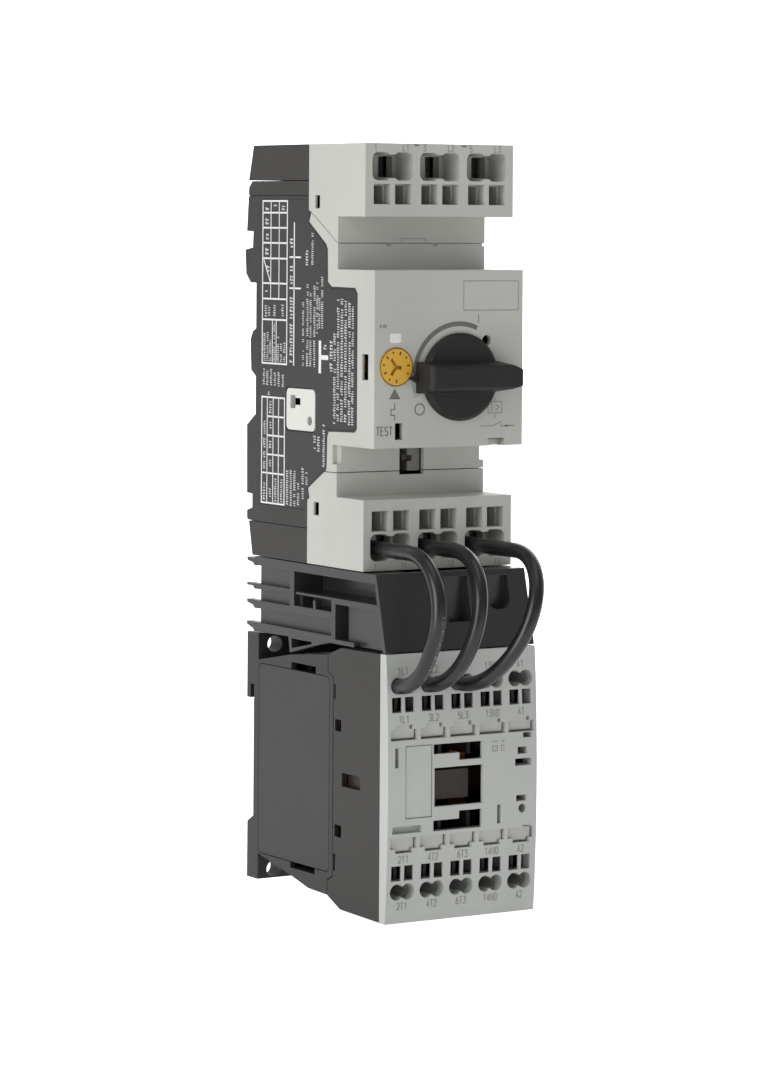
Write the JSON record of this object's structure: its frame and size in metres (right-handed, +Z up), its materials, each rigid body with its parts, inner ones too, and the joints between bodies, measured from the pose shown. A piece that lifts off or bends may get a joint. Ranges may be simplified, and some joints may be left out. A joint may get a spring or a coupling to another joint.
{
  "type": "magnetic motor starter",
  "caption": "Rail-mounted motor starter: rotary protective switch above a connector block and a contactor, joined by three insulated wire links.",
  "frame": {"origin": "centre of the 35 mm rail seat on the back of the protective switch", "axes": "+X right across the front, +Y back towards the rail, so the front faces -Y, +Z up"},
  "size_m": [0.045, 0.0989, 0.1972],
  "materials": {
    "light_plastic": "fine matt grey moulding",
    "cover_plastic": "fine matt grey moulding",
    "dark_plastic": "matt charcoal moulding",
    "plate_plastic": "smooth charcoal plate",
    "black_plastic": "satin black moulding",
    "label_film": "printed black film",
    "pale_plastic": "pale grey insert",
    "dial_plastic": "amber dial",
    "carrier_plastic": "dark brown thermoset",
    "bobbin_plastic": "natural nylon",
    "steel": "zinc-plated sheet",
    "spring_steel": "stainless spring leaf",
    "core_steel": "laminated sheet stack",
    "copper": "copper strip",
    "winding": "enamelled copper winding",
    "bimetal": "two-layer strip",
    "wire_jacket": "glossy black insulation"
  },
  "bodies": {
    "housing": {"switch_base": "dark_plastic", "line_terminal_back": "dark_plastic", "load_terminal_back": "dark_plastic", "switch_cover": "light_plastic", "line_terminal_block": "light_plastic", "load_terminal_block": "light_plastic", "side_label": "label_film", "side_port": "pale_plastic", "latch_spring": "spring_steel", "mechanism_frame": "steel", "toggle_pin": "steel", "line_conductors": "copper", "coil_conductors": "copper", "load_conductors": "copper", "arc_plates": "steel", "trip_coils": "winding", "bimetal_strips": "bimetal", "heater_windings": "copper", "line_clamps": "spring_steel", "load_clamps": "spring_steel", "connector_block": "black_plastic", "link_wire_1": "wire_jacket", "link_wire_2": "wire_jacket", "link_wire_3": "wire_jacket", "link_ferrules": "copper", "contactor_base": "dark_plastic", "contactor_housing": "dark_plastic", "contactor_cover": "cover_plastic", "side_plate_left": "plate_plastic", "side_plate_right": "plate_plastic", "magnet_core": "core_steel", "shading_rings": "copper", "coil_bobbin": "bobbin_plastic", "coil_winding": "winding", "return_springs": "spring_steel", "upper_contacts": "copper", "lower_contacts": "copper", "coil_leads": "copper", "contactor_clamps": "spring_steel", "marker_tags": "cover_plastic", "nameplate": "cover_plastic", "rail_foot": "spring_steel"},
    "handle": {"rotary_handle": "black_plastic", "handle_shaft": "steel"},
    "dial": {"setting_dial": "dial_plastic", "dial_spindle": "dial_plastic"},
    "test_slider": {"test_slider": "black_plastic"},
    "rail_latch": {"rail_latch": "black_plastic"},
    "toggle": {"toggle_lever": "steel"},
    "switch_contacts": {"switch_carrier": "carrier_plastic", "aux_actuator": "pale_plastic", "switch_bridges": "copper", "switch_contact_springs": "spring_steel"},
    "plungers": {"trip_plungers": "core_steel"},
    "trip_bar": {"trip_bar": "pale_plastic"},
    "contactor_moving": {"contact_carrier": "carrier_plastic", "armature": "core_steel", "contactor_bridges": "copper", "contactor_springs": "spring_steel"}
  },
  "joints": [
    {"name": "handle_turn", "type": "hinge", "parent": "housing", "child": "handle", "pos_m": [0.003, -0.06, -0.0056], "axis": [0, 1, 0], "range_deg": [0, 90]},
    {"name": "dial_turn", "type": "hinge", "parent": "housing", "child": "dial", "pos_m": [-0.0161, -0.055, -0.0028], "axis": [0, 1, 0], "range_deg": [-150, 120]},
    {"name": "test_press", "type": "slide", "parent": "housing", "child": "test_slider", "axis": [0, 1, 0], "range_m": [0, 0.0025], "stiffness_N_per_m": 150, "springref_m": -0.001},
    {"name": "trip_slide", "type": "slide", "parent": "housing", "child": "trip_bar", "axis": [1, 0, 0], "range_m": [0, 0.0016]},
    {"name": "toggle_tilt", "type": "hinge", "parent": "housing", "child": "toggle", "pos_m": [0, -0.034, -0.001], "axis": [-1, 0, 0], "range_deg": [0, 14]},
    {"name": "switch_close", "type": "slide", "parent": "housing", "child": "switch_contacts", "axis": [0, 1, 0], "range_m": [0, 0.00395]},
    {"name": "plunger_strike", "type": "slide", "parent": "housing", "child": "plungers", "axis": [0, -1, 0], "range_m": [0, 0.002]},
    {"name": "latch_release", "type": "slide", "parent": "housing", "child": "rail_latch", "axis": [0, 0, -1], "range_m": [0, 0.0025], "stiffness_N_per_m": 800, "springref_m": -0.001, "deforming": ["latch_spring"]},
    {"name": "contactor_close", "type": "slide", "parent": "housing", "child": "contactor_moving", "axis": [0, 1, 0], "range_m": [0, 0.0039], "stiffness_N_per_m": 400, "springref_m": -0.004, "deforming": ["return_springs"]}
  ],
  "couplings": [
    {"joint": "switch_close", "follows": "handle_turn", "m_per_rad": 0.0024828},
    {"joint": "toggle_tilt", "follows": "handle_turn", "ratio": 0.15},
    {"joint": "trip_slide", "follows": "test_press", "ratio": 0.6}
  ]
}
